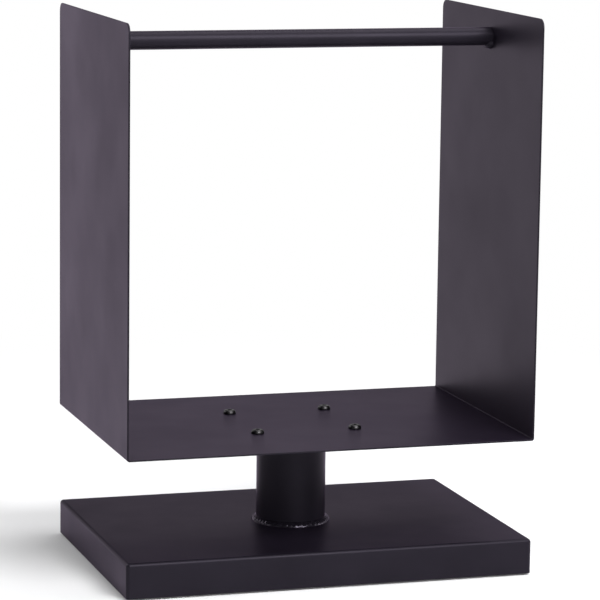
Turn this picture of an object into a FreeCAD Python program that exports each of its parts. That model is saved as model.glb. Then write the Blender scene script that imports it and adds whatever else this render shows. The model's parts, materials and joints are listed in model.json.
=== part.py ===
"""Log holder: a folded steel trough with a carry bar, on a round column and a folded base tray.

Millimetres, +X to the right, +Y to the back, +Z up. The origin is on the floor, in the middle
of the footprint.
"""
import FreeCAD, Part
import os
import Sketcher

os.makedirs("parts", exist_ok=True)
doc = FreeCAD.newDocument("log_holder")

# Driving dimensions in millimetres
DIMENSIONS = {
    # Trough: one sheet folded twice
    "trough_width": 450,
    "trough_depth": 310,
    "trough_height": 452,
    "trough_gauge": 2,
    "trough_bend_radius": 1,
    "trough_corner_radius": 10,
    # Carry bar: a round tube welded under each end
    "bar_diameter": 20,
    "bar_wall": 2,
    "bar_drop": 30,
    "bar_weld_run": 8,
    "bar_weld_rise": 4,
    # Column: a round tube with a bead at its foot and head
    "column_diameter": 76.1,
    "column_wall": 2,
    "column_length": 104,
    "column_vent_diameter": 12,
    "foot_weld_leg": 5,
    "head_weld_leg": 4,
    # Head plate: spreads the column's load under the trough floor
    "head_plate_side": 150,
    "head_plate_thickness": 4,
    "head_plate_corner_radius": 12,
    "head_screw_edge": 20,
    # Button-head screws, washers and nuts of the head plate
    "head_screw_diameter": 8,
    "head_screw_length": 16,
    "head_screw_cap_diameter": 14,
    "head_screw_cap_height": 4.4,
    "head_screw_socket": 5,
    "head_screw_socket_depth": 2.6,
    "head_hole_clearance": 1,
    "head_washer_diameter": 16,
    "head_washer_thickness": 1.6,
    "head_nut_flats": 13,
    "head_nut_height": 6.5,
    # Base tray: a sheet with four skirts folded down and closed at the corners
    "base_width": 450,
    "base_depth": 310,
    "base_height": 38,
    "base_gauge": 2,
    "base_bend_radius": 1,
    "floor_clearance": 2,
    # Doubler: a plate stitched under the tray's top
    "doubler_side": 170,
    "doubler_thickness": 3,
    "doubler_corner_radius": 12,
    "doubler_weld_leg": 3,
    "doubler_weld_length": 40,
    # Corner brackets that carry the feet
    "bracket_leg": 70,
    "bracket_tip": 16,
    "bracket_relief": 8,
    "bracket_thickness": 3,
    "bracket_weld_leg": 3,
    "bracket_weld_length": 30,
    # Rubber feet and their pan-head screws and nuts
    "foot_inset": 22,
    "foot_height": 12,
    "foot_top_diameter": 28,
    "foot_bottom_diameter": 24,
    "foot_edge_chamfer": 1.5,
    "foot_recess_depth": 6,
    "foot_recess_clearance": 2,
    "foot_screw_diameter": 5,
    "foot_screw_length": 16,
    "foot_screw_cap_diameter": 10,
    "foot_screw_cap_height": 3.7,
    "foot_hole_clearance": 0.5,
    "foot_nut_flats": 8,
    "foot_nut_height": 4,
    # How far a cut runs past the solid
    "cut_overrun": 5,
    # How much of a turn the bar's beads go round it
    "bar_weld_turn_share": 0.33,
    # Radius of a bead's crown as a share of its chord, and of a cap's dome likewise
    "bead_crown_share": 0.85,
    "cap_dome_share": 1.1,
    # Flat top of a cap as a share of its diameter, and a stitch's place as a share of the side
    "cap_flat_share": 0.5,
    "stitch_place_share": 0.25,
}
MATCH_SHARE = 1e-6

# Levels above the floor, from the bottom up
SKIRT_FOOT = "Dims.floor_clearance"
BASE_TOP = f"({SKIRT_FOOT} + Dims.base_height)"
BASE_UNDERSIDE = f"({BASE_TOP} - Dims.base_gauge)"
DOUBLER_UNDERSIDE = f"({BASE_UNDERSIDE} - Dims.doubler_thickness)"
BRACKET_TOP = "(Dims.foot_height + Dims.bracket_thickness)"
HEAD_UNDERSIDE = f"({BASE_TOP} + Dims.column_length)"
TROUGH_UNDERSIDE = f"({HEAD_UNDERSIDE} + Dims.head_plate_thickness)"
FLOOR_TOP = f"({TROUGH_UNDERSIDE} + Dims.trough_gauge)"
BAR_AXIS = f"({TROUGH_UNDERSIDE} + Dims.trough_height - Dims.bar_drop)"

# Places across the object, shared by the pieces that meet there
BAR_LENGTH = "(Dims.trough_width - 2 * Dims.trough_gauge)"
COLUMN_RADIUS = "Dims.column_diameter / 2"
HEAD_SCREW_PLACE = "(Dims.head_plate_side / 2 - Dims.head_screw_edge)"
HEAD_HOLE = "(Dims.head_screw_diameter + Dims.head_hole_clearance)"
BASE_CORNER = "(Dims.base_bend_radius + Dims.base_gauge)"
SKIRT_X = "(Dims.base_width / 2 - Dims.base_gauge)"
SKIRT_Y = "(Dims.base_depth / 2 - Dims.base_gauge)"
FOOT_X = f"({SKIRT_X} - Dims.foot_inset)"
FOOT_Y = f"({SKIRT_Y} - Dims.foot_inset)"
FOOT_HOLE = "(Dims.foot_screw_diameter + Dims.foot_hole_clearance)"
CORNERS = {
    "front_left": (-1, -1),
    "front_right": (1, -1),
    "back_left": (-1, 1),
    "back_right": (1, 1),
}

sheet = doc.addObject("Spreadsheet::Sheet", "Dims")
for row, (alias, number) in enumerate(DIMENSIONS.items(), start=1):
    sheet.set(f"A{row}", alias)
    sheet.set(f"B{row}", str(number))
    sheet.setAlias(f"B{row}", alias)
doc.recompute()
sub_parts = []


def value(expression):
    """The number that an expression on the sheet stands for."""
    return float(sheet.evalExpression(expression))


# Sketch helpers


def sketch_on(body, plane, name, offset="0"):
    """A sketch on one of the body's own planes, moved along the plane's normal by an offset."""
    sketch = body.newObject("Sketcher::SketchObject", name)
    support = next(item for item in body.Origin.OriginFeatures if item.Role == plane)
    sketch.AttachmentSupport = (support, [""])
    sketch.MapMode = "FlatFace"
    if offset != "0":
        sketch.setExpression("AttachmentOffset.Base.z", offset)
    return sketch


def bind(sketch, constraint, expression):
    """Adds a constraint whose size follows the sheet."""
    number = sketch.addConstraint(constraint)
    sketch.setExpression(f"Constraints[{number}]", expression)


def pin(sketch, geometry, vertex, x, y):
    """Holds a vertex at two distances from the sketch's origin."""
    for kind, axis, place in (("DistanceX", -2, x), ("DistanceY", -1, y)):
        if place == "0":
            sketch.addConstraint(Sketcher.Constraint("PointOnObject", geometry, vertex, axis))
        else:
            constraint = Sketcher.Constraint(kind, -1, 1, geometry, vertex, value(place))
            bind(sketch, constraint, place)


def circle(sketch, diameter, x="0", y="0"):
    """A circle of a bound diameter at a bound place."""
    centre = FreeCAD.Vector(value(x), value(y), 0)
    normal = FreeCAD.Vector(0, 0, 1)
    number = sketch.addGeometry(Part.Circle(centre, normal, value(diameter) / 2))
    pin(sketch, number, 3, x, y)
    bind(sketch, Sketcher.Constraint("Diameter", number, value(diameter)), diameter)


def bulged(start, end, radius):
    """An arc from start to end that bulges to the right of the way from one to the other."""
    chord = end - start
    drop = (radius**2 - (chord.Length / 2) ** 2) ** 0.5
    outward = FreeCAD.Vector(chord.y, -chord.x, 0).normalize()
    middle = (start + end) / 2 + outward * (radius - drop)
    return Part.Arc(start, middle, end)


def outline(sketch, corners, arcs=None):
    """A closed outline, counterclockwise; arcs gives the radius of the sides that bulge out."""
    arcs = arcs or {}
    count = len(corners)
    points = [FreeCAD.Vector(value(x), value(y), 0) for x, y in corners]
    first = sketch.GeometryCount
    for side in range(count):
        start = points[side]
        end = points[(side + 1) % count]
        if side in arcs:
            sketch.addGeometry(bulged(start, end, value(arcs[side])))
        else:
            sketch.addGeometry(Part.LineSegment(start, end))
    for side, (x, y) in enumerate(corners):
        following = first + (side + 1) % count
        sketch.addConstraint(Sketcher.Constraint("Coincident", first + side, 2, following, 1))
        pin(sketch, first + side, 1, x, y)
    for side, radius in arcs.items():
        bind(sketch, Sketcher.Constraint("Radius", first + side, value(radius)), radius)


def rectangle(sketch, width, depth):
    """A rectangle about the sketch's origin."""
    x = f"{width} / 2"
    y = f"{depth} / 2"
    outline(sketch, [(f"-{x}", f"-{y}"), (x, f"-{y}"), (x, y), (f"-{x}", y)])


def hexagon(sketch, flats, x="0", y="0"):
    """A regular hexagon of a given size across its flats, which face along X."""
    half = f"{flats} / 2"
    low = f"{flats} * tan(30 deg) / 2"
    tip = f"{flats} / (2 * cos(30 deg))"
    steps = [("0", f"-{tip}"), (half, f"-{low}"), (half, low), ("0", tip)]
    steps += [(f"-{half}", low), (f"-{half}", f"-{low}")]
    outline(sketch, [(f"{x} + {across}", f"{y} + {along}") for across, along in steps])


def bead(sketch, corner, run, rise):
    """A weld bead's section: two legs from the corner where the pieces meet, and a crown.

    run and rise are the legs along the sketch's axes, with their signs.
    """
    x, y = corner
    crown = f"Dims.bead_crown_share * sqrt(({run}) ^ 2 + ({rise}) ^ 2)"
    along = (f"{x} + ({run})", y)
    up = (x, f"{y} + ({rise})")
    turns_left = value(run) * value(rise) > 0
    corners = [corner, along, up] if turns_left else [corner, up, along]
    outline(sketch, corners, {1: crown})


# Feature helpers


def new_body(label):
    """A body for one sub-part, which is exported under its label."""
    body = doc.addObject("PartDesign::Body", label)
    body.Label = label
    sub_parts.append(body)
    return body


def place(item, x="0", y="0", z="0"):
    """Puts an object at bound coordinates."""
    for axis, expression in (("x", x), ("y", y), ("z", z)):
        if expression != "0":
            item.setExpression(f"Placement.Base.{axis}", expression)


def pad(body, sketch, length, both_ways=False):
    """Extrudes a sketch along its normal, or half the length each way."""
    feature = body.newObject("PartDesign::Pad", f"{sketch.Name}_pad")
    feature.Profile = sketch
    feature.SideType = "Symmetric" if both_ways else "One side"
    feature.setExpression("Length", length)
    doc.recompute()
    return feature


def pocket(body, sketch, depth=None):
    """Cuts a sketch down to a depth, or right through both ways, and checks that it cut."""
    before = body.Shape.Volume
    feature = body.newObject("PartDesign::Pocket", f"{sketch.Name}_pocket")
    feature.Profile = sketch
    if depth is None:
        feature.Type = "ThroughAll"
        feature.SideType = "Symmetric"
    else:
        feature.setExpression("Length", depth)
    doc.recompute()
    if body.Shape.Volume >= before:
        raise RuntimeError(f"{feature.Name} cut nothing")
    return feature


def revolve(body, sketch, axis, angle=None):
    """Turns a sketch about an axis: all the way, or half of the angle each way."""
    feature = body.newObject("PartDesign::Revolution", f"{sketch.Name}_turned")
    feature.Profile = sketch
    feature.ReferenceAxis = (sketch, [axis])
    if angle is not None:
        feature.Midplane = True
        feature.setExpression("Angle", angle)
    doc.recompute()
    return feature


def edges_at(feature, **places):
    """Names of the edges that lie, over their whole length, at the given coordinates."""
    reach = MATCH_SHARE * value("Dims.trough_width")
    names = []
    for number, edge in enumerate(feature.Shape.Edges, start=1):
        box = edge.BoundBox
        fits = True
        for axis, levels in places.items():
            ends = (getattr(box, f"{axis.upper()}Min"), getattr(box, f"{axis.upper()}Max"))
            fits = fits and any(max(abs(end - level) for end in ends) < reach for level in levels)
        if fits:
            names.append(f"Edge{number}")
    return names


def fillet(body, feature, edges, radius):
    """Rounds edges of the body's last feature."""
    rounded = body.newObject("PartDesign::Fillet", f"{feature.Name}_rounded")
    rounded.Base = (feature, edges)
    rounded.setExpression("Radius", radius)
    doc.recompute()
    return rounded


def axis_of(body, role):
    """One of the body's own axes or planes, as a reference."""
    return (next(item for item in body.Origin.OriginFeatures if item.Role == role), [""])


def four_turns(body):
    """Repeats the body's solid at four places round the vertical axis."""
    pattern = body.newObject("PartDesign::PolarPattern", f"{body.Name}_four")
    pattern.TransformMode = "Whole shape"
    pattern.Axis = axis_of(body, "Z_Axis")
    pattern.Occurrences = 4
    body.Tip = pattern
    doc.recompute()


def mirrored(body, plane):
    """Adds the mirror image of the body's solids."""
    pattern = body.newObject("PartDesign::Mirrored", f"{body.Name}_{plane}_image")
    pattern.TransformMode = "Whole shape"
    pattern.MirrorPlane = axis_of(body, plane)
    body.Tip = pattern
    doc.recompute()


def four_corners(body):
    """Repeats what lies in the back right corner in the other three."""
    mirrored(body, "YZ_Plane")
    mirrored(body, "XZ_Plane")


# The trough and its carry bar


def make_trough_sheet():
    """The sheet that holds the logs: a floor and two side plates, bent from one piece."""
    body = new_body("trough_sheet")
    side = "Dims.trough_width / 2"
    inside = f"({side} - Dims.trough_gauge)"
    section = sketch_on(body, "XZ_Plane", "trough_section")
    right = [(side, "0"), (side, "Dims.trough_height")]
    right += [(inside, "Dims.trough_height"), (inside, "Dims.trough_gauge")]
    left = [(f"-{x}", z) for x, z in reversed(right)]
    outline(section, right + left)
    folded = pad(body, section, "Dims.trough_depth", both_ways=True)
    inner = value(inside)
    outer = value(side)
    back = value("Dims.trough_depth / 2")
    top = value("Dims.trough_height")
    corners = edges_at(folded, y=(-back, back), z=(top,))
    folded = fillet(body, folded, corners, "Dims.trough_corner_radius")
    bends = edges_at(folded, x=(-inner, inner), z=(value("Dims.trough_gauge"),))
    folded = fillet(body, folded, bends, "Dims.trough_bend_radius")
    bends = edges_at(folded, x=(-outer, outer), z=(0,))
    fillet(body, folded, bends, "Dims.trough_bend_radius + Dims.trough_gauge")
    holes = sketch_on(body, "XY_Plane", "trough_screw_holes")
    four_circles(holes, HEAD_HOLE, HEAD_SCREW_PLACE)
    pocket(body, holes)
    place(body, z=TROUGH_UNDERSIDE)


def four_circles(sketch, diameter, reach):
    """Circles at the four corners of a square."""
    for side_x, side_y in CORNERS.values():
        circle(sketch, diameter, f"{side_x} * {reach}", f"{side_y} * {reach}")


def make_carry_bar():
    """The round tube between the side plates, by which the holder is carried."""
    body = new_body("carry_bar")
    section = sketch_on(body, "YZ_Plane", "bar_section")
    circle(section, "Dims.bar_diameter")
    circle(section, "Dims.bar_diameter - 2 * Dims.bar_wall")
    pad(body, section, BAR_LENGTH, both_ways=True)
    place(body, z=BAR_AXIS)


def make_bar_weld(label, side):
    """The short bead under one end of the bar, against the side plate."""
    body = new_body(label)
    section = sketch_on(body, "XZ_Plane", f"{label}_section")
    corner = (f"{side} * {BAR_LENGTH} / 2", "-Dims.bar_diameter / 2")
    bead(section, corner, f"{-side} * Dims.bar_weld_run", "-Dims.bar_weld_rise")
    revolve(body, section, "H_Axis", "Dims.bar_weld_turn_share * 360")
    place(body, z=BAR_AXIS)


# The column


def make_column_tube():
    """The round tube between base and trough."""
    body = new_body("column_tube")
    section = sketch_on(body, "XY_Plane", "column_section")
    circle(section, "Dims.column_diameter")
    circle(section, "Dims.column_diameter - 2 * Dims.column_wall")
    pad(body, section, "Dims.column_length")
    place(body, z=BASE_TOP)


def make_column_weld(label, level, leg, rise):
    """A bead all round the column, where it meets a flat plate."""
    body = new_body(label)
    section = sketch_on(body, "XZ_Plane", f"{label}_section")
    bead(section, (COLUMN_RADIUS, "0"), leg, f"{rise} * {leg}")
    revolve(body, section, "V_Axis")
    place(body, z=level)


def make_column_head_plate():
    """The plate on the column, screwed under the trough floor."""
    body = new_body("column_head_plate")
    blank = sketch_on(body, "XY_Plane", "head_plate_blank")
    rectangle(blank, "Dims.head_plate_side", "Dims.head_plate_side")
    plate = pad(body, blank, "Dims.head_plate_thickness")
    edge = value("Dims.head_plate_side / 2")
    corners = edges_at(plate, x=(-edge, edge), y=(-edge, edge))
    fillet(body, plate, corners, "Dims.head_plate_corner_radius")
    holes = sketch_on(body, "XY_Plane", "head_plate_holes")
    four_circles(holes, HEAD_HOLE, HEAD_SCREW_PLACE)
    pocket(body, holes)
    place(body, z=HEAD_UNDERSIDE)


def make_head_screws():
    """Button-head screws, put in from above through the trough floor."""
    body = new_body("head_screws")
    section = sketch_on(body, "XZ_Plane", "head_screw_section", f"-{HEAD_SCREW_PLACE}")
    section.setExpression("AttachmentOffset.Base.x", HEAD_SCREW_PLACE)
    cap = "Dims.head_screw_cap_diameter / 2"
    flat = f"{cap} * Dims.cap_flat_share"
    dome = f"Dims.cap_dome_share * sqrt(({cap} - {flat}) ^ 2 + Dims.head_screw_cap_height ^ 2)"
    shank = "Dims.head_screw_diameter / 2"
    corners = [("0", "-Dims.head_screw_length"), (shank, "-Dims.head_screw_length"), (shank, "0")]
    corners += [(cap, "0"), (flat, "Dims.head_screw_cap_height")]
    corners += [("0", "Dims.head_screw_cap_height")]
    outline(section, corners, {3: dome})
    revolve(body, section, "V_Axis")
    socket = sketch_on(body, "XY_Plane", "head_screw_hex", "Dims.head_screw_cap_height")
    hexagon(socket, "Dims.head_screw_socket", HEAD_SCREW_PLACE, HEAD_SCREW_PLACE)
    pocket(body, socket, "Dims.head_screw_socket_depth")
    four_corners(body)
    place(body, z=FLOOR_TOP)


def make_head_washers():
    """Washers between the head plate and its nuts."""
    body = new_body("head_washers")
    ring = sketch_on(body, "XY_Plane", "head_washer_ring")
    circle(ring, "Dims.head_washer_diameter", HEAD_SCREW_PLACE, HEAD_SCREW_PLACE)
    circle(ring, HEAD_HOLE, HEAD_SCREW_PLACE, HEAD_SCREW_PLACE)
    pad(body, ring, "Dims.head_washer_thickness")
    four_corners(body)
    place(body, z=f"{HEAD_UNDERSIDE} - Dims.head_washer_thickness")


def make_head_nuts():
    """Nuts under the head plate."""
    body = new_body("head_nuts")
    ring = sketch_on(body, "XY_Plane", "head_nut_ring")
    hexagon(ring, "Dims.head_nut_flats", HEAD_SCREW_PLACE, HEAD_SCREW_PLACE)
    circle(ring, "Dims.head_screw_diameter", HEAD_SCREW_PLACE, HEAD_SCREW_PLACE)
    pad(body, ring, "Dims.head_nut_height")
    four_corners(body)
    place(body, z=f"{HEAD_UNDERSIDE} - Dims.head_washer_thickness - Dims.head_nut_height")


# The base


def make_base_shell():
    """The base as one closed-cornered shell, open below, before its corners are split off."""
    body = doc.addObject("PartDesign::Body", "base_shell")
    footprint = sketch_on(body, "XY_Plane", "base_footprint")
    rectangle(footprint, "Dims.base_width", "Dims.base_depth")
    block = pad(body, footprint, "Dims.base_height")
    side = value("Dims.base_width / 2")
    back = value("Dims.base_depth / 2")
    bends = edges_at(block, z=(value("Dims.base_height"),))
    uprights = edges_at(block, x=(-side, side), y=(-back, back))
    block = fillet(body, block, bends + uprights, BASE_CORNER)
    faces = enumerate(block.Shape.Faces, start=1)
    underside = min(faces, key=lambda numbered: numbered[1].CenterOfMass.z)[0]
    shell = body.newObject("PartDesign::Thickness", "base_folded")
    shell.Base = (block, [f"Face{underside}"])
    shell.Reversed = True
    shell.setExpression("Value", "Dims.base_gauge")
    doc.recompute()
    vent = sketch_on(body, "XY_Plane", "base_vent")
    circle(vent, "Dims.column_vent_diameter")
    pocket(body, vent)
    place(body, z=SKIRT_FOOT)
    return body


def make_corner_posts():
    """Boxes that take in the four corners of the base, where the skirts meet."""
    posts = []
    for name, (side_x, side_y) in CORNERS.items():
        post = doc.addObject("Part::Box", f"corner_post_{name}")
        for edge in ("Length", "Width"):
            post.setExpression(edge, f"{BASE_CORNER} + Dims.cut_overrun")
        post.setExpression("Height", "Dims.base_height + 2 * Dims.cut_overrun")
        starts = []
        for side, size in ((side_x, "Dims.base_width"), (side_y, "Dims.base_depth")):
            past = BASE_CORNER if side > 0 else "Dims.cut_overrun"
            starts.append(f"{side} * {size} / 2 - {past}")
        place(post, *starts, f"{SKIRT_FOOT} - Dims.cut_overrun")
        posts.append(post)
    group = doc.addObject("Part::MultiFuse", "corner_posts")
    group.Shapes = posts
    return group


def make_base_tray_and_corner_welds():
    """The folded tray, and the welds that close its corners and are ground to its round."""
    shell = make_base_shell()
    posts = make_corner_posts()
    tray = doc.addObject("Part::Cut", "base_tray")
    welds = doc.addObject("Part::Common", "base_corner_welds")
    for item in (tray, welds):
        item.Base = shell
        item.Tool = posts
        item.Label = item.Name
        sub_parts.append(item)
    doc.recompute()


def make_base_doubler():
    """The plate that stiffens the tray's top under the column."""
    body = new_body("base_doubler")
    blank = sketch_on(body, "XY_Plane", "doubler_blank")
    rectangle(blank, "Dims.doubler_side", "Dims.doubler_side")
    plate = pad(body, blank, "Dims.doubler_thickness")
    edge = value("Dims.doubler_side / 2")
    corners = edges_at(plate, x=(-edge, edge), y=(-edge, edge))
    fillet(body, plate, corners, "Dims.doubler_corner_radius")
    vent = sketch_on(body, "XY_Plane", "doubler_vent")
    circle(vent, "Dims.column_vent_diameter")
    pocket(body, vent)
    place(body, z=DOUBLER_UNDERSIDE)


def make_doubler_welds():
    """Two stitches along each side of the doubler."""
    body = new_body("doubler_welds")
    stitch = "Dims.doubler_side * Dims.stitch_place_share"
    section = sketch_on(body, "XZ_Plane", "doubler_weld_section", stitch)
    corner = ("Dims.doubler_side / 2", "0")
    bead(section, corner, "Dims.doubler_weld_leg", "-Dims.doubler_weld_leg")
    pad(body, section, "Dims.doubler_weld_length", both_ways=True)
    mirrored(body, "XZ_Plane")
    four_turns(body)
    place(body, z=BASE_UNDERSIDE)


def make_foot_bracket(name, side_x, side_y):
    """A corner plate between two skirts, with its tips and its inner corner cut off."""
    body = new_body(f"foot_bracket_{name}")
    blank = sketch_on(body, "XY_Plane", f"bracket_blank_{name}")
    steps = [("Dims.bracket_relief", "0"), ("Dims.bracket_leg", "0")]
    steps += [("Dims.bracket_leg", "Dims.bracket_tip")]
    steps += [(y, x) for x, y in reversed(steps)]
    corners = []
    for inward_x, inward_y in steps:
        x = f"{side_x} * ({SKIRT_X} - {inward_x})"
        y = f"{side_y} * ({SKIRT_Y} - {inward_y})"
        corners.append((x, y))
    outline(blank, corners)
    circle(blank, FOOT_HOLE, f"{side_x} * {FOOT_X}", f"{side_y} * {FOOT_Y}")
    pad(body, blank, "Dims.bracket_thickness")
    place(body, z="Dims.foot_height")


def make_bracket_welds():
    """A bead along each of the two edges by which a bracket meets the skirts."""
    body = new_body("bracket_welds")
    leg = "-Dims.bracket_weld_leg"
    across = sketch_on(body, "YZ_Plane", "bracket_weld_back", f"{SKIRT_X} - Dims.bracket_leg / 2")
    bead(across, (SKIRT_Y, "0"), leg, "Dims.bracket_weld_leg")
    pad(body, across, "Dims.bracket_weld_length", both_ways=True)
    along = sketch_on(body, "XZ_Plane", "bracket_weld_side", f"Dims.bracket_leg / 2 - {SKIRT_Y}")
    bead(along, (SKIRT_X, "0"), leg, "Dims.bracket_weld_leg")
    pad(body, along, "Dims.bracket_weld_length", both_ways=True)
    four_corners(body)
    place(body, z=BRACKET_TOP)


def make_rubber_foot(name, side_x, side_y):
    """A tapered rubber foot, recessed from below for its screw."""
    body = new_body(f"rubber_foot_{name}")
    section = sketch_on(body, "XZ_Plane", f"foot_section_{name}")
    recess = "(Dims.foot_screw_cap_diameter + Dims.foot_recess_clearance) / 2"
    hole = f"{FOOT_HOLE} / 2"
    rim = "Dims.foot_bottom_diameter / 2"
    corners = [(recess, "0"), (f"{rim} - Dims.foot_edge_chamfer", "0"), (rim, "Dims.foot_edge_chamfer")]
    corners += [("Dims.foot_top_diameter / 2", "Dims.foot_height"), (hole, "Dims.foot_height")]
    corners += [(hole, "Dims.foot_recess_depth"), (recess, "Dims.foot_recess_depth")]
    outline(section, corners)
    revolve(body, section, "V_Axis")
    place(body, f"{side_x} * {FOOT_X}", f"{side_y} * {FOOT_Y}")


def make_foot_screws():
    """Pan-head screws, put in from below through the rubber feet."""
    body = new_body("foot_screws")
    section = sketch_on(body, "XZ_Plane", "foot_screw_section", f"-{FOOT_Y}")
    section.setExpression("AttachmentOffset.Base.x", FOOT_X)
    cap = "Dims.foot_screw_cap_diameter / 2"
    flat = f"{cap} * Dims.cap_flat_share"
    dome = f"Dims.cap_dome_share * sqrt(({cap} - {flat}) ^ 2 + Dims.foot_screw_cap_height ^ 2)"
    shank = "Dims.foot_screw_diameter / 2"
    corners = [("0", "-Dims.foot_screw_cap_height"), (flat, "-Dims.foot_screw_cap_height")]
    corners += [(cap, "0"), (shank, "0")]
    corners += [(shank, "Dims.foot_screw_length"), ("0", "Dims.foot_screw_length")]
    outline(section, corners, {1: dome})
    revolve(body, section, "V_Axis")
    four_corners(body)
    place(body, z="Dims.foot_recess_depth")


def make_foot_nuts():
    """Nuts on top of the brackets."""
    body = new_body("foot_nuts")
    ring = sketch_on(body, "XY_Plane", "foot_nut_ring")
    hexagon(ring, "Dims.foot_nut_flats", FOOT_X, FOOT_Y)
    circle(ring, "Dims.foot_screw_diameter", FOOT_X, FOOT_Y)
    pad(body, ring, "Dims.foot_nut_height")
    four_corners(body)
    place(body, z=BRACKET_TOP)


# The whole holder, from the top down

make_trough_sheet()
make_carry_bar()
make_bar_weld("bar_weld_left", -1)
make_bar_weld("bar_weld_right", 1)
make_column_head_plate()
make_head_screws()
make_head_washers()
make_head_nuts()
make_column_weld("column_head_weld", HEAD_UNDERSIDE, "Dims.head_weld_leg", -1)
make_column_tube()
make_column_weld("column_foot_weld", BASE_TOP, "Dims.foot_weld_leg", 1)
make_base_tray_and_corner_welds()
make_base_doubler()
make_doubler_welds()
for corner_name, sides in CORNERS.items():
    make_foot_bracket(corner_name, *sides)
make_bracket_welds()
for corner_name, sides in CORNERS.items():
    make_rubber_foot(corner_name, *sides)
make_foot_screws()
make_foot_nuts()
doc.recompute()

# Every object has to be sound before anything is written

for item in doc.Objects:
    if "Invalid" in item.State or "Error" in item.State:
        raise RuntimeError(f"{item.Label} failed: {item.State}")
for part in sub_parts:
    if part.Shape.isNull() or not part.Shape.isValid():
        raise RuntimeError(f"{part.Label} has no valid shape")
for part in sub_parts:
    part.Shape.exportStep(f"parts/{part.Label}.step")
    print(f"{part.Label}: {len(part.Shape.Solids)} solids, {part.Shape.Volume:.0f} mm3")
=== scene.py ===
# %% [markdown]
# # Dressing a log holder
# The construction of this holder comes ready-made as a set of solids: a folded trough, a carry
# bar, a round column and a folded base. This lesson gives it the looks of the real thing. It
# sets up the photographer's view, mixes the finishes, and models again by hand the pieces whose
# charm lies in small things: soft sheet edges, rippled weld beads, chamfered nuts.

# %% Load the solids
import json
import math
import random

import bmesh
import bpy
from mathutils import Matrix, Vector


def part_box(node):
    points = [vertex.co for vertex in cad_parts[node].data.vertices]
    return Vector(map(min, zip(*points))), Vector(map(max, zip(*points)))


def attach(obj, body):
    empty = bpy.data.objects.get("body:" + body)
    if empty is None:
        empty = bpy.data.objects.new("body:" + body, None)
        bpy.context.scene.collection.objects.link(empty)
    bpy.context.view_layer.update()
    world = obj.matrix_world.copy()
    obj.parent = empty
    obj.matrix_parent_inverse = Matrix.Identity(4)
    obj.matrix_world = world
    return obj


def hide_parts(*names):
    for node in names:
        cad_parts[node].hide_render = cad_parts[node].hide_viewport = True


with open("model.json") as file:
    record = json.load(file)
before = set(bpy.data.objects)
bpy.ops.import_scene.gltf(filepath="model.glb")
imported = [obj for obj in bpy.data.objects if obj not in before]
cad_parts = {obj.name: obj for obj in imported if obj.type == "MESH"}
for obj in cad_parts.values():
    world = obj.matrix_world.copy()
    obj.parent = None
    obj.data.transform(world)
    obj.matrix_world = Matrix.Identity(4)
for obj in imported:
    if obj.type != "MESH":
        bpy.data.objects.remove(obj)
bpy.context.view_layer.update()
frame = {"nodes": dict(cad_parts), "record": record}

nodes = frame["nodes"]


# %% [markdown]
# ## The photographer's place
# The camera stands far away with a long lens, a little left of the front and slightly above.
# A long lens keeps the sheets almost parallel in the picture. The angles below were read from
# the outline of the holder: the two side plates give the turn, the base gives the height.

# %% Camera
VIEW_TURN = math.radians(-17.36)
VIEW_RISE = math.radians(9.39)
VIEW_ROLL = math.radians(0.74)
VIEW_DISTANCE = 3.424
VIEW_AIM = Vector((0.0080, 0.0, 0.2843))
FOCAL_PIXELS = 3134.5
IMAGE_PIXELS = 600
SENSOR_WIDTH = 36.0


def place_camera():
    """Aims the camera: its axes are worked out from the three angles."""
    back = Vector((
        math.sin(VIEW_TURN) * math.cos(VIEW_RISE),
        -math.cos(VIEW_TURN) * math.cos(VIEW_RISE),
        math.sin(VIEW_RISE),
    ))
    right = Vector((math.cos(VIEW_TURN), math.sin(VIEW_TURN), 0.0))
    up = back.cross(right)
    rolled_right = right * math.cos(VIEW_ROLL) + up * math.sin(VIEW_ROLL)
    rolled_up = up * math.cos(VIEW_ROLL) - right * math.sin(VIEW_ROLL)
    lens = bpy.data.cameras.new("photo_lens")
    lens.sensor_width = SENSOR_WIDTH
    lens.lens = FOCAL_PIXELS * SENSOR_WIDTH / IMAGE_PIXELS
    camera = bpy.data.objects.new("photo_camera", lens)
    axes = Matrix((rolled_right, rolled_up, back)).transposed()
    camera.matrix_world = Matrix.Translation(VIEW_AIM + back * VIEW_DISTANCE) @ axes.to_4x4()
    bpy.context.scene.collection.objects.link(camera)
    bpy.context.scene.camera = camera
    return camera


camera = place_camera()
print("camera at", tuple(round(c, 3) for c in camera.location), "lens", round(camera.data.lens, 1))

# %% [markdown]
# ## Helpers for working by hand
# Every operator acts on what is selected, so each step starts from a clean selection and picks
# its vertices, edges or faces by where they lie. These few helpers keep the steps short.

# %% Selection helpers
def deselect():
    """Leaves edit mode and clears the selection."""
    if bpy.context.object and bpy.context.object.mode != "OBJECT":
        bpy.ops.object.mode_set(mode="OBJECT")
    bpy.ops.object.select_all(action="DESELECT")


def activate(piece):
    """Makes a piece the only one that operators act on."""
    deselect()
    piece.select_set(True)
    bpy.context.view_layer.objects.active = piece


def name_active(name):
    """Names the piece that was just added, and its mesh."""
    piece = bpy.context.object
    piece.name = name
    piece.data.name = name
    return piece


def edit(piece, mode, action="DESELECT"):
    """Opens a piece for editing in one selection mode, with nothing or all of it selected."""
    activate(piece)
    bpy.ops.object.mode_set(mode="EDIT")
    bpy.ops.mesh.select_mode(type=mode)
    bpy.ops.mesh.select_all(action=action)


def pick(piece, kind, test):
    """Selects the vertices, edges or faces whose middle passes a test."""
    mesh = bmesh.from_edit_mesh(piece.data)
    for item in getattr(mesh, kind):
        corners = [item] if kind == "verts" else item.verts
        middle = sum((corner.co for corner in corners), Vector()) / len(corners)
        if test(middle):
            item.select_set(True)
    mesh.select_flush_mode()
    bmesh.update_edit_mesh(piece.data)


print("selection helpers ready")

# %% Finishing helpers
SMOOTH_ANGLE = math.radians(35)


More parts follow.
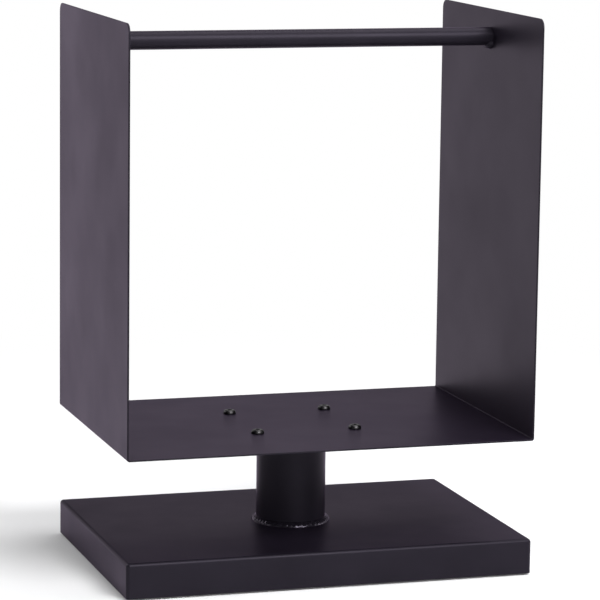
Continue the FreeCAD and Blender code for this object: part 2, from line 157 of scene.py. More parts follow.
def add_modifier(piece, kind, **settings):
    """Adds a modifier, sets it up and applies it."""
    activate(piece)
    modifier = piece.modifiers.new(kind.lower(), kind)
    for setting, number in settings.items():
        setattr(modifier, setting, number)
    bpy.ops.object.modifier_apply(modifier=modifier.name)


def settle(piece):
    """Moves a piece's place, turn and size into its mesh."""
    activate(piece)
    bpy.ops.object.transform_apply(location=True, rotation=True, scale=True)


def smooth(piece, angle=SMOOTH_ANGLE):
    """Shades a piece smoothly, apart from edges that are sharper than an angle."""
    activate(piece)
    bpy.ops.object.shade_smooth_by_angle(angle=angle)


def finish_piece(piece, material, slot, *replaced):
    """Gives a piece its finish and sets it in the frame, in place of plain solids."""
    piece.data.materials.clear()
    piece.data.materials.append(material)
    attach(piece, "root")
    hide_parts(*replaced)
    print(piece.name, "faces:", len(piece.data.polygons), "stands for:", ", ".join(replaced))


print("finishing helpers ready")

# %% [markdown]
# ## Studio
# The holder stands in a plain studio: a pale floor that runs out of the picture, a room whose
# wall is white at its foot and grey above, and large soft lamps. The floor has to look white to
# the eye of the camera and in reflections, and still carry a shadow near the object. So its
# material is an ordinary diffuse white near the holder, and turns to a plain white glow with the
# distance. The white foot of the wall continues it, so a low view has no hard horizon.

# %% Floor
FLOOR_SPAN = 60.0
SHADOW_REACH = (0.45, 1.4)
NEAR_GLOW = 0.08
FLOOR_WHITE = (0.86, 0.86, 0.87, 1.0)
ROOM_WHITE = (1.0, 1.0, 1.0, 1.0)


def seen_by_eye(tree):
    """A value of 1 for rays from the camera, in reflections and through glass."""
    path = tree.nodes.new("ShaderNodeLightPath")
    total = path.outputs["Is Camera Ray"]
    for kind in ("Is Glossy Ray", "Is Transmission Ray"):
        both = tree.nodes.new("ShaderNodeMath")
        both.operation = "MAXIMUM"
        tree.links.new(total, both.inputs[0])
        tree.links.new(path.outputs[kind], both.inputs[1])
        total = both.outputs[0]
    return total


def soft_step(tree, number, reach, levels):
    """A smooth change from one level to another while a number goes through its reach."""
    step = tree.nodes.new("ShaderNodeMapRange")
    step.interpolation_type = "SMOOTHSTEP"
    for socket, limit in zip(("From Min", "From Max", "To Min", "To Max"), (*reach, *levels)):
        step.inputs[socket].default_value = limit
    tree.links.new(number, step.inputs["Value"])
    return step.outputs["Result"]


def floor_material():
    """Diffuse white that turns into a plain white glow away from the object."""
    material = bpy.data.materials.new("studio_floor")
    material.use_nodes = True
    tree = material.node_tree
    tree.nodes.clear()
    place = tree.nodes.new("ShaderNodeTexCoord")
    distance = tree.nodes.new("ShaderNodeVectorMath")
    distance.operation = "LENGTH"
    tree.links.new(place.outputs["Object"], distance.inputs[0])
    share = soft_step(tree, distance.outputs["Value"], SHADOW_REACH, (NEAR_GLOW, 1.0))
    seen = tree.nodes.new("ShaderNodeMath")
    seen.operation = "MULTIPLY"
    tree.links.new(seen_by_eye(tree), seen.inputs[0])
    tree.links.new(share, seen.inputs[1])
    paper = tree.nodes.new("ShaderNodeBsdfDiffuse")
    paper.inputs["Color"].default_value = FLOOR_WHITE
    glow = tree.nodes.new("ShaderNodeEmission")
    glow.inputs["Color"].default_value = ROOM_WHITE
    mix = tree.nodes.new("ShaderNodeMixShader")
    tree.links.new(seen.outputs[0], mix.inputs["Fac"])
    tree.links.new(paper.outputs[0], mix.inputs[1])
    tree.links.new(glow.outputs[0], mix.inputs[2])
    output = tree.nodes.new("ShaderNodeOutputMaterial")
    tree.links.new(mix.outputs[0], output.inputs["Surface"])
    return material


deselect()
bpy.ops.mesh.primitive_plane_add(size=FLOOR_SPAN)
floor = name_active("studio_floor")
floor.data.materials.append(floor_material())
print("floor spans", FLOOR_SPAN, "m")

# %% Room
WALL_LIGHT = 1.0
WALL_RISE = (0.06, 0.15)
ROOM_LIGHT = 0.15


def build_room():
    """A plain room: its wall is white where it meets the floor and greyer towards the ceiling."""
    world = bpy.data.worlds.new("studio_room")
    bpy.context.scene.world = world
    world.use_nodes = True
    tree = world.node_tree
    background = tree.nodes["Background"]
    background.inputs["Color"].default_value = ROOM_WHITE
    place = tree.nodes.new("ShaderNodeTexCoord")
    axes = tree.nodes.new("ShaderNodeSeparateXYZ")
    tree.links.new(place.outputs["Generated"], axes.inputs[0])
    level = soft_step(tree, axes.outputs["Z"], WALL_RISE, (WALL_LIGHT, ROOM_LIGHT))
    tree.links.new(level, background.inputs["Strength"])
    return world


print("room:", build_room().name)

# %% [markdown]
# The lamps are large panels, because a big source gives soft reflections on a satin coat. One
# hangs high in front and draws the line on the carry bar and on the folds, a weak one stands
# low and fills the column under the trough, and one is overhead for the flat tops. The two
# strong ones hang right of the middle, so the left end of the base stands in the shade. Others
# at the left, the right and the back keep the plates readable from every side. A weak one far
# behind gives the base top a sheen that dies away to the front, where the trough hides it.
# None stands low and strong, because a flat plate seen at a low angle would mirror it as a
# white patch.

# %% Lamps
LAMPS = {
    "front_panel": {"place": (0.7, -2.3, 2.3), "size": 1.6, "power": 120.0},
    "low_panel": {"place": (0.2, -3.2, 0.7), "size": 2.0, "power": 24.0},
    "top_panel": {"place": (0.7, 0.2, 3.0), "size": 1.8, "power": 45.0},
    "left_panel": {"place": (-2.6, 0.4, 1.5), "size": 1.5, "power": 12.0},
    "right_panel": {"place": (2.7, -0.3, 1.5), "size": 1.5, "power": 26.0},
    "back_panel": {"place": (-1.7, 2.4, 2.0), "size": 1.4, "power": 24.0},
    "far_panel": {"place": (0.95, 3.0, 2.2), "size": 1.4, "power": 7.0},
}
LAMP_AIM = Vector((0.0, 0.0, 0.3))


def hang_lamp(name, place, size, power):
    """A square panel lamp turned towards the holder."""
    light = bpy.data.lights.new(name, "AREA")
    light.shape = "SQUARE"
    light.size = size
    light.energy = power
    lamp = bpy.data.objects.new(name, light)
    lamp.location = place
    lamp.rotation_euler = (LAMP_AIM - Vector(place)).to_track_quat("-Z", "Y").to_euler()
    bpy.context.scene.collection.objects.link(lamp)


for lamp_name, lamp_setting in LAMPS.items():
    hang_lamp(lamp_name, **lamp_setting)
bpy.context.scene.view_settings.view_transform = "Standard"
print("lamps hung:", ", ".join(LAMPS))

# %% [markdown]
# ## Shared surface effects
# Two effects return in several finishes, so each is a node group that is built once. The first
# is the skin of a powder coat: sprayed powder melts into a film with a fine orange peel, a
# millimetre or two across, over sheet metal that is never quite flat. The second clouds a
# surface: handling and the spray gun leave broad patches that are a little duller or brighter.

# %% Node groups
PEEL_SIZES = {"Peel Scale": 650.0, "Peel Depth": 0.00004, "Wave Scale": 9.0, "Wave Depth": 0.0004}
PEEL_DETAIL = {"Wave": 1.0, "Peel": 2.0}
PEEL_CONTRAST = 0.5
CLOUD_SIZES = {"Scale": 14.0, "Low": 0.45, "High": 0.55}
CLOUD_DETAIL = 3.0
CLOUD_CONTRAST = 0.6
CLOUD_SPREAD = (0.3, 0.7)


def new_group(name, inputs, outputs):
    """An empty shader group with named inputs, each with a start value, and outputs."""
    group = bpy.data.node_groups.new(name, "ShaderNodeTree")
    for label, number in inputs.items():
        socket = group.interface.new_socket(label, in_out="INPUT", socket_type="NodeSocketFloat")
        socket.default_value = number
    for label, kind in outputs.items():
        group.interface.new_socket(label, in_out="OUTPUT", socket_type=kind)
    return group, group.nodes.new("NodeGroupInput"), group.nodes.new("NodeGroupOutput")


def noise(tree, scale, detail, contrast):
    """A noise texture on object coordinates, with its scale from a socket."""
    place = tree.nodes.new("ShaderNodeTexCoord")
    texture = tree.nodes.new("ShaderNodeTexNoise")
    texture.inputs["Detail"].default_value = detail
    texture.inputs["Roughness"].default_value = contrast
    tree.links.new(place.outputs["Object"], texture.inputs["Vector"])
    tree.links.new(scale, texture.inputs["Scale"])
    return texture.outputs["Fac"]


def peel_group():
    """Orange peel over a faint waviness, as a normal."""
    group, given, result = new_group("orange_peel", PEEL_SIZES, {"Normal": "NodeSocketVector"})
    normal = None
    for kind, detail in PEEL_DETAIL.items():
        bump = group.nodes.new("ShaderNodeBump")
        bump.inputs["Strength"].default_value = 1.0
        height = noise(group, given.outputs[f"{kind} Scale"], detail, PEEL_CONTRAST)
        group.links.new(given.outputs[f"{kind} Depth"], bump.inputs["Distance"])
        group.links.new(height, bump.inputs["Height"])
        if normal is not None:
            group.links.new(normal, bump.inputs["Normal"])
        normal = bump.outputs["Normal"]
    group.links.new(normal, result.inputs["Normal"])
    return group


def cloud_group():
    """Broad soft patches between two values."""
    group, given, result = new_group("soft_clouds", CLOUD_SIZES, {"Value": "NodeSocketFloat"})
    spread = group.nodes.new("ShaderNodeMapRange")
    for socket, limit in zip(("From Min", "From Max"), CLOUD_SPREAD):
        spread.inputs[socket].default_value = limit
    patches = noise(group, given.outputs["Scale"], CLOUD_DETAIL, CLOUD_CONTRAST)
    group.links.new(patches, spread.inputs["Value"])
    group.links.new(given.outputs["Low"], spread.inputs["To Min"])
    group.links.new(given.outputs["High"], spread.inputs["To Max"])
    group.links.new(spread.outputs["Result"], result.inputs["Value"])
    return group


PEEL = peel_group()
CLOUDS = cloud_group()
print("groups:", PEEL.name, CLOUDS.name)

# %% [markdown]
# ## Finishes
# The coat is a satin near-black with a breath of violet. Most of what the eye sees on it is
# the pale studio, mirrored softly, so roughness matters more than colour. A mirrored white
# stays white on a plain surface, so the coat has a thin violet film over it: at a flat angle
# the light crosses more of the film, and the plates and the base take its tint. On a weld
# bead the powder runs into a thicker and glossier skin, so the beads glint. The fixings are
# zinc-plated or blackened steel, and the feet are plain rubber.

# %% Material helpers
MIX_FACTOR, MIX_FIRST, MIX_SECOND, MIX_COLOUR = 0, 6, 7, 2


def new_material(name):
    """A material with a fresh Principled surface."""
    material = bpy.data.materials.new(name)
    material.use_nodes = True
    return material, material.node_tree, material.node_tree.nodes["Principled BSDF"]


def use_group(tree, group, **numbers):
    """Places a group in a material and sets its inputs, named with underscores for spaces."""
    node = tree.nodes.new("ShaderNodeGroup")
    node.node_tree = group
    for label, number in numbers.items():
        node.inputs[label.replace("_", " ")].default_value = number
    return node.outputs[0]


def two_tone(tree, scale, dark, light):
    """A colour that wanders between two in soft patches."""
    patches = use_group(tree, CLOUDS, Scale=scale, Low=0.0, High=1.0)
    ramp = tree.nodes.new("ShaderNodeMix")
    ramp.data_type = "RGBA"
    ramp.inputs[MIX_FIRST].default_value = (*dark, 1.0)
    ramp.inputs[MIX_SECOND].default_value = (*light, 1.0)
    tree.links.new(patches, ramp.inputs[MIX_FACTOR])
    return ramp.outputs[MIX_COLOUR]


print("material helpers ready")

# %% Powder coat
COAT_DARK = (0.0080, 0.0073, 0.0098)
COAT_LIGHT = (0.0108, 0.0098, 0.0132)
COAT_TONE_SCALE = 12.0
COAT_TINT = (0.90, 0.86, 1.0, 1.0)
COAT_SPECULAR = 0.118
COAT_ROUGHNESS = (0.36, 0.44)
COAT_ROUGHNESS_SCALE = 7.0
BEAD_SPECULAR = 0.30
BEAD_ROUGHNESS = (0.15, 0.25)
FILM_WEIGHT = 0.35
FILM_IOR = 1.01
FILM_TINT = (0.94, 0.78, 1.0, 1.0)
FILM_ROUGHNESS = 0.42


def powder_coat(name, specular, roughness):
    """Satin near-black powder coat with a strength of mirror, between two roughness values."""
    material, tree, surface = new_material(name)
    low, high = roughness
    dullness = use_group(tree, CLOUDS, Scale=COAT_ROUGHNESS_SCALE, Low=low, High=high)
    tones = two_tone(tree, COAT_TONE_SCALE, COAT_DARK, COAT_LIGHT)
    tree.links.new(tones, surface.inputs["Base Color"])
    tree.links.new(dullness, surface.inputs["Roughness"])
    tree.links.new(use_group(tree, PEEL), surface.inputs["Normal"])
    surface.inputs["Specular IOR Level"].default_value = specular
    surface.inputs["Specular Tint"].default_value = COAT_TINT
    surface.inputs["Coat Weight"].default_value = FILM_WEIGHT
    surface.inputs["Coat IOR"].default_value = FILM_IOR
    surface.inputs["Coat Tint"].default_value = FILM_TINT
    surface.inputs["Coat Roughness"].default_value = FILM_ROUGHNESS
    return material


coat = powder_coat("powder_coat", COAT_SPECULAR, COAT_ROUGHNESS)
bead_coat = powder_coat("powder_coat_bead", BEAD_SPECULAR, BEAD_ROUGHNESS)
print("finishes:", coat.name, bead_coat.name)

# %% Fixings
METAL_TONE_SCALE = 160.0
METAL_ROUGHNESS_SCALE = 240.0
ZINC_TONES = ((0.50, 0.51, 0.53), (0.62, 0.63, 0.64))
ZINC_ROUGHNESS = (0.26, 0.42)
BLACK_TONES = ((0.035, 0.034, 0.036), (0.055, 0.053, 0.055))
BLACK_ROUGHNESS = (0.30, 0.42)


def metal(name, tones, roughness):
    """Plated or blackened steel with faint patches."""
    material, tree, surface = new_material(name)
    low, high = roughness
    dullness = use_group(tree, CLOUDS, Scale=METAL_ROUGHNESS_SCALE, Low=low, High=high)
    tree.links.new(two_tone(tree, METAL_TONE_SCALE, *tones), surface.inputs["Base Color"])
    tree.links.new(dullness, surface.inputs["Roughness"])
    surface.inputs["Metallic"].default_value = 1.0
    return material


zinc = metal("zinc_steel", ZINC_TONES, ZINC_ROUGHNESS)
black_steel = metal("black_screw", BLACK_TONES, BLACK_ROUGHNESS)
print("finishes:", zinc.name, black_steel.name)

# %% Rubber
RUBBER_TONES = ((0.011, 0.011, 0.011), (0.02, 0.02, 0.019))
RUBBER_TONE_SCALE = 90.0
RUBBER_GRAIN_SCALE = 2200.0
RUBBER_GRAIN_DEPTH = 0.00005
RUBBER_ROUGHNESS = 0.75


def rubber_skin():
    """Matt black rubber with a fine moulded grain."""
    material, tree, surface = new_material("rubber")
    grain = use_group(
        tree, PEEL, Peel_Scale=RUBBER_GRAIN_SCALE, Peel_Depth=RUBBER_GRAIN_DEPTH, Wave_Depth=0.0,
    )
    tree.links.new(two_tone(tree, RUBBER_TONE_SCALE, *RUBBER_TONES), surface.inputs["Base Color"])
    tree.links.new(grain, surface.inputs["Normal"])
    surface.inputs["Roughness"].default_value = RUBBER_ROUGHNESS
    return material


rubber = rubber_skin()
print("finish:", rubber.name)

# %% [markdown]
# ## The trough
# On the real holder this is one sheet, cut, rounded at its four free corners and folded up
# twice. It could be a box with its front, back and top taken off, but folding it the way the
# workshop does gives the right bends: a flat plate, two edges extruded upwards, the folds
# bevelled to their radius, the corners rounded, and then the gauge of the sheet added with
# Solidify. A hair-fine bevel softens the cut edges, as a coat of powder does.

# %% Sheet metal
SHEET_GAUGE = 0.002
BOTH_SIDES = 0.0
INWARDS = -1.0
FOLD_RADIUS = 0.001
FOLD_STEPS = 6
COAT_EDGE = 0.0005
COAT_EDGE_STEPS = 3
COAT_EDGE_ANGLE = math.radians(50)


def soften(piece, width, steps, angle):
    """Takes the sharpness off every edge that is steeper than an angle."""
    add_modifier(
        piece, "BEVEL", width=width, segments=steps, limit_method="ANGLE", angle_limit=angle,
    )


def thicken(piece, offset):
    """Gives a folded skin its gauge, to both sides or inwards, and softens its cut edges."""
    add_modifier(piece, "SOLIDIFY", thickness=SHEET_GAUGE, offset=offset, use_even_offset=True)
    soften(piece, COAT_EDGE, COAT_EDGE_STEPS, COAT_EDGE_ANGLE)
    smooth(piece)
    add_modifier(piece, "WEIGHTED_NORMAL", keep_sharp=True)


print("sheet of", SHEET_GAUGE * 1000, "mm")

# %% Trough sheet
TROUGH_CORNER = 0.010
TROUGH_CORNER_STEPS = 10


def trough_piece():
    """The trough, folded up from a flat plate."""
    low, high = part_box("trough_sheet")
    half = SHEET_GAUGE / 2
    side = high.x - half
    deck = low.z + half

    def on_side(middle):
        return abs(abs(middle.x) - side) < half

    def on_fold(middle):
        return on_side(middle) and abs(middle.z - deck) < half and abs(middle.y) < half

    deselect()
    bpy.ops.mesh.primitive_plane_add(size=1.0, location=(0.0, 0.0, deck))
    piece = name_active("trough_sheet_coated")
    piece.scale = (2 * side, high.y - low.y, 1.0)
    settle(piece)
    edit(piece, "EDGE")
    pick(piece, "edges", on_side)
    bpy.ops.mesh.extrude_edges_move(TRANSFORM_OT_translate={"value": (0.0, 0.0, high.z - deck)})
    bpy.ops.mesh.select_all(action="DESELECT")
    pick(piece, "edges", on_fold)
    bpy.ops.mesh.bevel(offset=FOLD_RADIUS + half, segments=FOLD_STEPS, affect="EDGES")
    bpy.ops.mesh.select_mode(type="VERT")
    bpy.ops.mesh.select_all(action="DESELECT")
    pick(piece, "verts", lambda middle: abs(middle.z - high.z) < half)
    bpy.ops.mesh.bevel(offset=TROUGH_CORNER, segments=TROUGH_CORNER_STEPS, affect="VERTICES")
    bpy.ops.mesh.select_all(action="SELECT")
    bpy.ops.mesh.normals_make_consistent(inside=False)
    thicken(piece, BOTH_SIDES)
    return piece


finish_piece(trough_piece(), coat, "powder_coat", "trough_sheet")

# %% [markdown]
# ## The base tray
# The base is a shallow tray of the same sheet, turned upside down: four skirts folded down and
# closed at the corners with a weld that is ground to the same round. A cube with its underside
# removed has the right faces; one bevel rounds the folds and the corners together, wide enough
# for the line of light along the front, and Solidify gives the gauge inwards, so the outside
# keeps its size.

# %% Base tray
BASE_FOLD = 0.004


def base_piece():
    """The base, made from a cube without its underside."""
    low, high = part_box("base_tray")
    deselect()
    bpy.ops.mesh.primitive_cube_add(size=1.0, location=(low + high) / 2)
    piece = name_active("base_tray_coated")
    piece.scale = high - low
    settle(piece)
    edit(piece, "FACE")
    pick(piece, "faces", lambda middle: abs(middle.z - low.z) < SHEET_GAUGE)
    bpy.ops.mesh.delete(type="FACE")
    bpy.ops.mesh.select_mode(type="EDGE")
    pick(piece, "edges", lambda middle: middle.z > low.z + SHEET_GAUGE)
    bpy.ops.mesh.bevel(offset=BASE_FOLD, segments=FOLD_STEPS, affect="EDGES")
    thicken(piece, INWARDS)
    return piece


finish_piece(base_piece(), coat, "powder_coat", "base_tray", "base_corner_welds")

# %% [markdown]
# ## Weld beads
# The column stands on the base in a hand-laid bead, a second one holds its head plate, and a
# short one sits under each end of the carry bar. A welder moves in small steps, so a bead is a
# row of overlapping puddles with sickle-shaped ripples. A bump map would fade at the outline, so
# the ripples are modelled: a quarter section is spun round the tube, and its crown is then
# lifted puddle by puddle, with a little unevenness from the hand.

# %% Bead section
SECTION_CORNERS = 40
MERGE_DISTANCE = 1e-6
BEAD_SMOOTH_ANGLE = math.radians(50)


def bead_section(name, corner, run, rise):
    """A closed quarter round in the XZ plane; run and rise go out from its corner, signed."""
    deselect()
    bpy.ops.mesh.primitive_circle_add(
        vertices=SECTION_CORNERS, radius=1.0, rotation=(math.pi / 2, 0.0, 0.0),
    )
    piece = name_active(name)
    settle(piece)
    for vertex in piece.data.vertices:
        vertex.co = (max(vertex.co.x, 0.0), 0.0, max(vertex.co.z, 0.0))
    piece.location = corner
    piece.scale = (run, 1.0, rise)
    settle(piece)
    edit(piece, "VERT", "SELECT")
    bpy.ops.mesh.remove_doubles(threshold=MERGE_DISTANCE)
    return piece


def close_bead(piece):
    """Merges the meeting ends of a spun bead and turns its faces outwards."""
    edit(piece, "VERT", "SELECT")
    bpy.ops.mesh.remove_doubles(threshold=MERGE_DISTANCE)
    bpy.ops.mesh.normals_make_consistent(inside=False)
    smooth(piece, BEAD_SMOOTH_ANGLE)


print("bead section of", SECTION_CORNERS, "corners before it is cut to a quarter")

# %% [markdown]
# The hand of the welder is a seeded random one, so the bead is the same each time. Each puddle
# gets a height of its own, a slow sway shifts the puddles along the bead and makes it fatter or
# thinner, and the sickle bends every ripple backwards at its two feet.

# %% Puddles
STEPS_PER_PUDDLE = 9
PUDDLE_DEPTH = 0.17
PUDDLE_HEIGHTS = (0.45, 1.0)
PUDDLE_LEVEL = 0.8
SICKLE_BEND = 0.45
SWAY_TURNS = (2, 3, 5, 7)
SWAY_SIZES = (0.3, 1.0)
SWAY_SHIFT = 0.3
SWAY_LIFT = 0.03
CROWN_DROP = 0.06


def lift_puddles(piece, corner_at, leg_axis, leg, spread, puddles, seed):
    """Lifts the crown of a bead; one of its legs has a fixed axis, and the other spreads away.

    For a point, corner_at gives the bead's corner, the axis of the spread and how far along the
    bead the point is, as a share.
    """
    hand = random.Random(seed)
    waves = [
        (turns, hand.uniform(0.0, math.tau), hand.uniform(*SWAY_SIZES)) for turns in SWAY_TURNS
    ]
    heights = [hand.uniform(*PUDDLE_HEIGHTS) for puddle in range(puddles)]
    for vertex in piece.data.vertices:
        corner, spread_axis, share = corner_at(vertex.co)
        arm = vertex.co - corner
        slope = math.atan2(
            max(arm.dot(spread_axis) / spread, 0.0), max(arm.dot(leg_axis) / leg, 0.0),
        )
        crown = math.sin(2.0 * slope)
        sickle = SICKLE_BEND * (slope / (math.pi / 4) - 1.0) ** 2
        sway = sum(
            size * math.sin(turns * math.tau * share + start) for turns, start, size in waves
        )
        count, step = divmod(share * puddles + SWAY_SHIFT * sway + sickle, 1.0)
        puddle = heights[int(count) % puddles] * (1.0 - (2.0 * step - 1.0) ** 2)
        lift = PUDDLE_DEPTH * (puddle - PUDDLE_LEVEL) + SWAY_LIFT * sway - CROWN_DROP
        vertex.co = corner + arm * (1.0 + crown * lift)


print("puddles of", STEPS_PER_PUDDLE, "steps")

# %% [markdown]
# The ring beads are spun about the column's axis. A ring must close on itself, so it has a
# whole number of puddles.

# %% Beads of the column
PUDDLE_PITCH = 0.0060
RING_BEADS = (("foot_bead", "column_foot_weld", 1, 3), ("head_bead", "column_head_weld", -1, 8))


def ring_bead(name, node, rise_sign, seed):
    """A bead round the column: at its foot with rise_sign 1, under its head plate with -1."""
    low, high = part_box(node)
    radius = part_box("column_tube")[1].x
    height = high.z - low.z
    run = high.x - radius
    level = low.z if rise_sign > 0 else high.z
    puddles = round(math.tau * (radius + run / 2) / PUDDLE_PITCH)
    piece = bead_section(name, (radius, 0.0, level), run, rise_sign * height)
    bpy.ops.mesh.spin(
        steps=puddles * STEPS_PER_PUDDLE, angle=math.tau,
        center=(0.0, 0.0, level), axis=(0.0, 0.0, 1.0),
    )
    close_bead(piece)

    def corner_at(point):
        turn = math.atan2(point.y, point.x)
        corner = Vector((radius * math.cos(turn), radius * math.sin(turn), level))
        outwards = Vector((math.cos(turn), math.sin(turn), 0.0))
        return corner, outwards, turn / math.tau

    lift_puddles(piece, corner_at, Vector((0.0, 0.0, rise_sign)), height, run, puddles, seed)
    return piece


for bead_name, bead_node, bead_sign, bead_seed in RING_BEADS:
    bead = ring_bead(bead_name, bead_node, bead_sign, bead_seed)
    finish_piece(bead, bead_coat, "powder_coat", bead_node)

# %% [markdown]
# The bar is held by a short bead in the lower third of its outline, where the welder could
# reach with the holder standing on its head. It starts and stops in a soft point.

# %% Beads of the carry bar
BAR_PUDDLES = 5
BAR_TAPER = 3
BAR_POINT = 0.999
BAR_BEADS = (("bar_bead_left", "bar_weld_left", -1, 5), ("bar_bead_right", "bar_weld_right", 1, 6))


def bar_bead(name, node, side, seed):
    """A short bead under one end of the carry bar; side is -1 at the left and 1 at the right."""
    low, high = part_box(node)
    bar_low, bar_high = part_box("carry_bar")
    radius = (bar_high.z - bar_low.z) / 2
    axis_level = (bar_high.z + bar_low.z) / 2
    wall = high.x if side > 0 else low.x
    run = high.x - low.x
    rise = bar_low.z - low.z
    reach = math.asin(min(high.y / (radius + rise), 1.0))
    piece = bead_section(name, (wall, 0.0, bar_low.z), -side * run, -rise)
    to_axis = Matrix.Translation((0.0, 0.0, axis_level))
    deselect()
    piece.data.transform(to_axis @ Matrix.Rotation(reach, 4, "X") @ to_axis.inverted())
    edit(piece, "VERT", "SELECT")
    bpy.ops.mesh.spin(
        steps=BAR_PUDDLES * STEPS_PER_PUDDLE, angle=2 * reach,
        center=(wall, 0.0, axis_level), axis=(1.0, 0.0, 0.0),
    )
    close_bead(piece)

    def corner_at(point):
        turn = math.atan2(point.y, axis_level - point.z)
        away = Vector((0.0, math.sin(turn), -math.cos(turn)))
        corner = Vector((wall, 0.0, axis_level)) + away * radius
        return corner, away, turn / (2 * reach) + 0.5

    lift_puddles(piece, corner_at, Vector((-side, 0.0, 0.0)), run, rise, BAR_PUDDLES, seed)
    for vertex in piece.data.vertices:
        corner, away, share = corner_at(vertex.co)
        out = abs(2.0 * share - 1.0)
        fade = math.sqrt(1.0 - out ** BAR_TAPER) if out < BAR_POINT else 0.0
        vertex.co = corner + (vertex.co - corner) * fade
    close_bead(piece)
    return piece


for bead_name, bead_node, bead_side, bead_seed in BAR_BEADS:
    bead = bar_bead(bead_name, bead_node, bead_side, bead_seed)
    finish_piece(bead, coat, "powder_coat", bead_node)

# %% [markdown]
# ## Screws and nuts
# Four button-head screws go down through the trough floor and the head plate, and nuts draw
# them tight from below. The heads catch the light inside the trough, so each gets its dome, its
# sharp hexagon socket and a real thread: a small triangle that climbs in a helix round the
# shank, which the Screw modifier draws in one go. One screw is made and copied to the corners.

# %% Rods and cuts
HEXAGON = 6


def rod(name, corners, radius, low, high):
    """A plain rod on the upright axis, as a start or as a cutter."""
    deselect()
    bpy.ops.mesh.primitive_cylinder_add(
        vertices=corners, radius=radius, depth=high - low, location=(0.0, 0.0, (low + high) / 2),
    )
    piece = name_active(name)
    settle(piece)
    return piece


def hexagon_rod(name, flats, low, high):
    """A rod with six sides, sized across its flats."""
    return rod(name, HEXAGON, flats / math.sqrt(3.0), low, high)


def carve(piece, cutter, operation):
    """Cuts a piece with another, which is then thrown away."""
    add_modifier(piece, "BOOLEAN", operation=operation, object=cutter, solver="EXACT")
    bpy.data.objects.remove(cutter, do_unlink=True)


def join(pieces):
    """Joins pieces into the first one."""
    deselect()
    for piece in pieces:
        piece.select_set(True)
    bpy.context.view_layer.objects.active = pieces[0]
    bpy.ops.object.join()
    return pieces[0]


def to_corners(piece, name, place, level):
    """Copies a piece to the four corners, throws the first one away and joins the copies."""
    copies = []
    for x_side, y_side in ((-1, -1), (1, -1), (1, 1), (-1, 1)):
        copy = piece.copy()
        copy.data = piece.data.copy()
        bpy.context.scene.collection.objects.link(copy)
        copy.location = (x_side * place, y_side * place, level)
        settle(copy)
        copies.append(copy)
    bpy.data.objects.remove(piece, do_unlink=True)
    whole = join(copies)
    whole.name = name
    whole.data.name = name
    return whole


print("rod tools ready")

# %% Thread
SHANK_RADIUS = 0.004
THREAD_PITCH = 0.00125
THREAD_STEPS = 20


def thread(name, low, high):
    """A helical ridge round the shank."""
    deselect()
    bpy.ops.mesh.primitive_circle_add(
        vertices=3, radius=THREAD_PITCH / math.sqrt(3.0),
        rotation=(math.pi / 2, -math.pi / 2, 0.0),
    )
    piece = name_active(name)
    settle(piece)
    edit(piece, "VERT", "SELECT")
    half = THREAD_PITCH / 2
    bpy.ops.transform.translate(value=(SHANK_RADIUS - half, 0.0, low + half))
    turns = int((high - low) / THREAD_PITCH) - 1
    add_modifier(
        piece, "SCREW", axis="Z", angle=math.tau, screw_offset=THREAD_PITCH, iterations=turns,
        steps=THREAD_STEPS, render_steps=THREAD_STEPS, use_merge_vertices=True,
    )
    edit(piece, "VERT", "SELECT")
    bpy.ops.mesh.fill_holes(sides=3)
    edit(piece, "VERT", "SELECT")
    bpy.ops.mesh.normals_make_consistent(inside=False)
    deselect()
    return piece


print("thread pitch", THREAD_PITCH * 1000, "mm")

# %% Screws
CAP_HEIGHT = 0.0044
CAP_RADIUS = 0.007
CAP_ROUND = 0.0033
CAP_CORNERS = 48
CAP_STEPS = 9
RIM_SHARE = 0.9
SOCKET_FLATS = 0.005
SOCKET_DEPTH = 0.0026
SHANK_CORNERS = 24
ROOT_SHARE = 0.55
FINE_EDGE = 0.00012
SCREW_EDGE_STEPS = 2
SCREW_EDGE_ANGLE = math.radians(45)
SCREW_SMOOTH_ANGLE = math.radians(32)


def at_rim(middle, radius):
    """Tells the rim of a round rod from its inside."""
    return Vector((middle.x, middle.y)).length > radius * RIM_SHARE


def screw_at_axis(tip):
    """A screw on the upright axis, with the underside of its head at zero."""

    def on_top_rim(middle):
        return abs(middle.z - CAP_HEIGHT) < FINE_EDGE and at_rim(middle, CAP_RADIUS)

    cap = rod("screw_cap", CAP_CORNERS, CAP_RADIUS, 0.0, CAP_HEIGHT)
    edit(cap, "EDGE")
    pick(cap, "edges", on_top_rim)
    bpy.ops.mesh.bevel(offset=CAP_ROUND, segments=CAP_STEPS, affect="EDGES")
    deselect()
    socket_floor = CAP_HEIGHT - SOCKET_DEPTH
    socket = hexagon_rod("socket", SOCKET_FLATS, socket_floor, CAP_HEIGHT + SOCKET_DEPTH)
    carve(cap, socket, "DIFFERENCE")
    soften(cap, FINE_EDGE, SCREW_EDGE_STEPS, SCREW_EDGE_ANGLE)
    root_radius = SHANK_RADIUS - THREAD_PITCH * ROOT_SHARE
    shank = rod("screw_shank", SHANK_CORNERS, root_radius, tip, FINE_EDGE)
    screw = join([cap, shank, thread("screw_ridge", tip, -THREAD_PITCH)])
    smooth(screw, SCREW_SMOOTH_ANGLE)
    return screw


screw_low, screw_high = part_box("head_screws")
screw_place = screw_high.x - CAP_RADIUS
head_level = screw_high.z - CAP_HEIGHT
one_screw = screw_at_axis(screw_low.z - head_level)
screws = to_corners(one_screw, "trough_screws", screw_place, head_level)
finish_piece(screws, black_steel, "black_screw", "head_screws")

# %% [markdown]
# A nut is a hexagon rod whose corners are turned off in a lathe, which leaves the curved lines
# on its flats. Cutting the hexagon with a bevelled round rod does the same. The hole stays open
# for the screw.

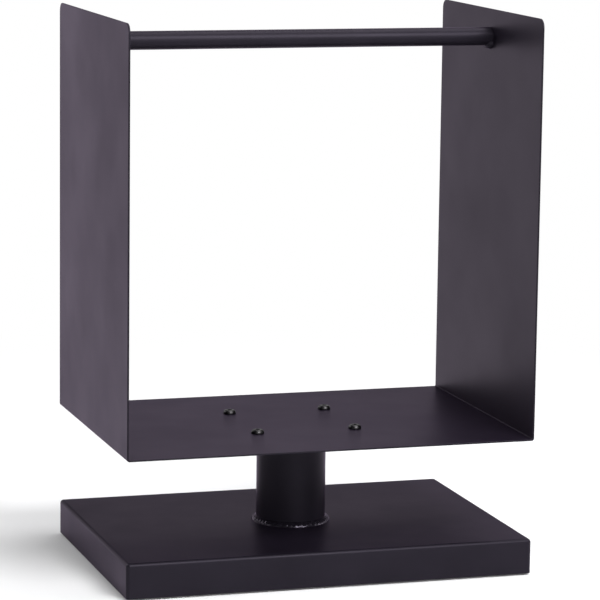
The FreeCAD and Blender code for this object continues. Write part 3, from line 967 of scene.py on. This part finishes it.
# %% Nuts
NUT_FLATS = 0.013
NUT_CHAMFER = 0.0008
NUT_END_SHARE = 0.4
LATHE_CORNERS = 72
HOLE_CORNERS = 32
NUT_EDGE_STEPS = 1
NUT_SLIVER = 2e-5
NUT_EDGE_ANGLE = math.radians(50)
NUT_SMOOTH_ANGLE = math.radians(25)


def nut_at_axis(height):
    """A chamfered hexagon nut on the upright axis, standing on zero."""
    corner_radius = NUT_FLATS / math.sqrt(3.0)

    def on_end_rims(middle):
        at_end = abs(middle.z - height / 2) > height * NUT_END_SHARE
        return at_end and at_rim(middle, corner_radius)

    nut = hexagon_rod("nut", NUT_FLATS, 0.0, height)
    turned = rod("turned", LATHE_CORNERS, corner_radius, 0.0, height)
    edit(turned, "EDGE")
    pick(turned, "edges", on_end_rims)
    bpy.ops.mesh.bevel(offset=NUT_CHAMFER, segments=1, affect="EDGES")
    deselect()
    carve(nut, turned, "INTERSECT")
    hole = rod("nut_hole", HOLE_CORNERS, SHANK_RADIUS, -height, 2 * height)
    carve(nut, hole, "DIFFERENCE")
    soften(nut, FINE_EDGE, NUT_EDGE_STEPS, NUT_EDGE_ANGLE)
    edit(nut, "VERT", "SELECT")
    bpy.ops.mesh.remove_doubles(threshold=NUT_SLIVER)
    bpy.ops.mesh.dissolve_degenerate(threshold=NUT_SLIVER)
    edit(nut, "VERT", "SELECT")
    bpy.ops.mesh.normals_make_consistent(inside=False)
    deselect()
    smooth(nut, NUT_SMOOTH_ANGLE)
    return nut


nut_low, nut_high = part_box("head_nuts")
one_nut = nut_at_axis(nut_high.z - nut_low.z)
nuts = to_corners(one_nut, "plate_nuts", screw_place, nut_low.z)
finish_piece(nuts, zinc, "zinc_steel", "head_nuts")

# %% [markdown]
# ## The pieces that stay
# The tubes, plates, brackets, feet and fixings have the right shape as they are, so they keep
# their solids and only get their finish.

# %% Finishes of the other solids
FINISH_OF_SLOT = {
    "powder_coat": coat,
    "zinc_steel": zinc,
    "black_screw": black_steel,
    "rubber": rubber,
}

for sub_part in frame["record"]["subparts"]:
    solid = nodes[sub_part["node"]]
    is_bead = "weld" in sub_part["node"]
    finish = bead_coat if is_bead else FINISH_OF_SLOT[sub_part["material_slot"]]
    solid.data.materials.clear()
    solid.data.materials.append(finish)

# %% [markdown]
# The dressed holder has to fill the same box as the solids. At the end the scene is brought up to
# date.

# %% Bring the scene up to date
bpy.context.view_layer.update()
